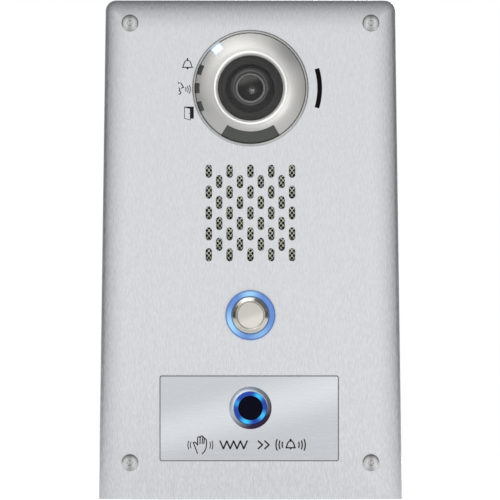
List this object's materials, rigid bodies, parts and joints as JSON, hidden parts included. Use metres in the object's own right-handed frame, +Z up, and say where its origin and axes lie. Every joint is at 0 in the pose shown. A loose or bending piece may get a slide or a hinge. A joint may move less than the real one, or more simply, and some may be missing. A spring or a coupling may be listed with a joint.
{
  "type": "door intercom panel",
  "caption": "Flush door station: dished steel panel with tilting camera, speaker grille, microphone, lit call button, touch-free sensor and rear electronics module.",
  "frame": {"origin": "centre of the face panel's outline on the wall plane, which its rear rim rests on", "axes": "+Z up, +Y into the wall, +X to the right of somebody who faces the panel; the front faces -Y"},
  "size_m": [0.1388, 0.0572, 0.2284],
  "materials": {
    "brushed_steel": "stainless sheet, brushed up and down",
    "brushed_plate": "stainless plate, brushed across",
    "polished_steel": "polished stainless",
    "screw_steel": "satin stainless",
    "zinc_steel": "zinc plated",
    "spring_steel": "drawn wire",
    "nickel": "satin nickel",
    "jack_shell": "stamped tin plate",
    "silver_plastic": "satin silver paint",
    "black_plastic": "fine grain",
    "dark_plastic": "spark-eroded grain",
    "green_plastic": "moulded",
    "grey_window": "smoked window",
    "dark_window": "infrared window",
    "smoked_dome": "smoked polycarbonate",
    "lens_glass": "coated glass",
    "lens_ring": "turned",
    "rubber": "moulded",
    "foam": "closed-cell foam",
    "circuit_board": "solder mask",
    "cone_paper": "pressed paper",
    "wire_mesh": "woven wire",
    "blue_light": "lit light guide",
    "white_light": "lit light guide"
  },
  "bodies": {
    "panel": {"face_panel": "brushed_steel", "sensor_plate": "brushed_plate", "panel_gasket": "rubber", "camera_trim_ring": "polished_steel", "camera_bezel": "silver_plastic", "dome_cover": "smoked_dome", "status_light": "white_light", "indicator_window_1": "grey_window", "indicator_window_2": "grey_window", "indicator_window_3": "grey_window", "illumination_window": "grey_window", "camera_gasket": "rubber", "camera_shroud": "black_plastic", "led_board": "circuit_board", "camera_bracket": "dark_plastic", "mic_slot_insert": "rubber", "mic_boot": "rubber", "mic_capsule": "zinc_steel", "speaker_mesh": "wire_mesh", "speaker_gasket": "foam", "speaker_basket": "zinc_steel", "speaker_cone": "cone_paper", "speaker_magnet": "zinc_steel", "button_body": "polished_steel", "button_halo": "blue_light", "button_spring": "spring_steel", "button_oring": "rubber", "button_nut": "zinc_steel", "button_switch": "black_plastic", "sensor_body": "polished_steel", "sensor_halo": "blue_light", "sensor_window": "dark_window", "sensor_nut": "zinc_steel", "sensor_connector": "black_plastic", "rear_housing": "dark_plastic", "back_cover": "dark_plastic", "main_board": "circuit_board", "network_jack": "jack_shell", "terminal_header": "green_plastic", "panel_screw_1": "screw_steel", "cover_screw_1": "screw_steel", "standoff_1": "zinc_steel", "panel_screw_2": "screw_steel", "cover_screw_2": "screw_steel", "standoff_2": "zinc_steel", "panel_screw_3": "screw_steel", "cover_screw_3": "screw_steel", "standoff_3": "zinc_steel", "panel_screw_4": "screw_steel", "cover_screw_4": "screw_steel", "standoff_4": "zinc_steel"},
    "camera": {"tilt_cradle": "black_plastic", "camera_barrel": "black_plastic", "lens_ring": "lens_ring", "lens_glass": "lens_glass", "image_sensor_board": "circuit_board"},
    "call_button": {"button_cap": "nickel"},
    "reset_button": {"reset_button": "black_plastic"},
    "terminal_plug": {"terminal_plug": "green_plastic"}
  },
  "joints": [
    {"name": "camera_tilt", "type": "hinge", "parent": "panel", "child": "camera", "pos_m": [0, 0.0032, 0.0739], "axis": [-1, 0, 0], "range_deg": [-8, 13]},
    {"name": "call_button_press", "type": "slide", "parent": "panel", "child": "call_button", "axis": [0, 1, 0], "range_m": [0, 0.002], "stiffness_N_per_m": 800, "springref_m": -0.002, "deforming": ["button_spring"]},
    {"name": "reset_press", "type": "slide", "parent": "panel", "child": "reset_button", "axis": [0, -1, 0], "range_m": [0, 0.0006], "stiffness_N_per_m": 150, "springref_m": -0.002},
    {"name": "terminal_plug_pull", "type": "slide", "parent": "panel", "child": "terminal_plug", "axis": [0, 1, 0], "range_m": [0, 0.012]}
  ]
}
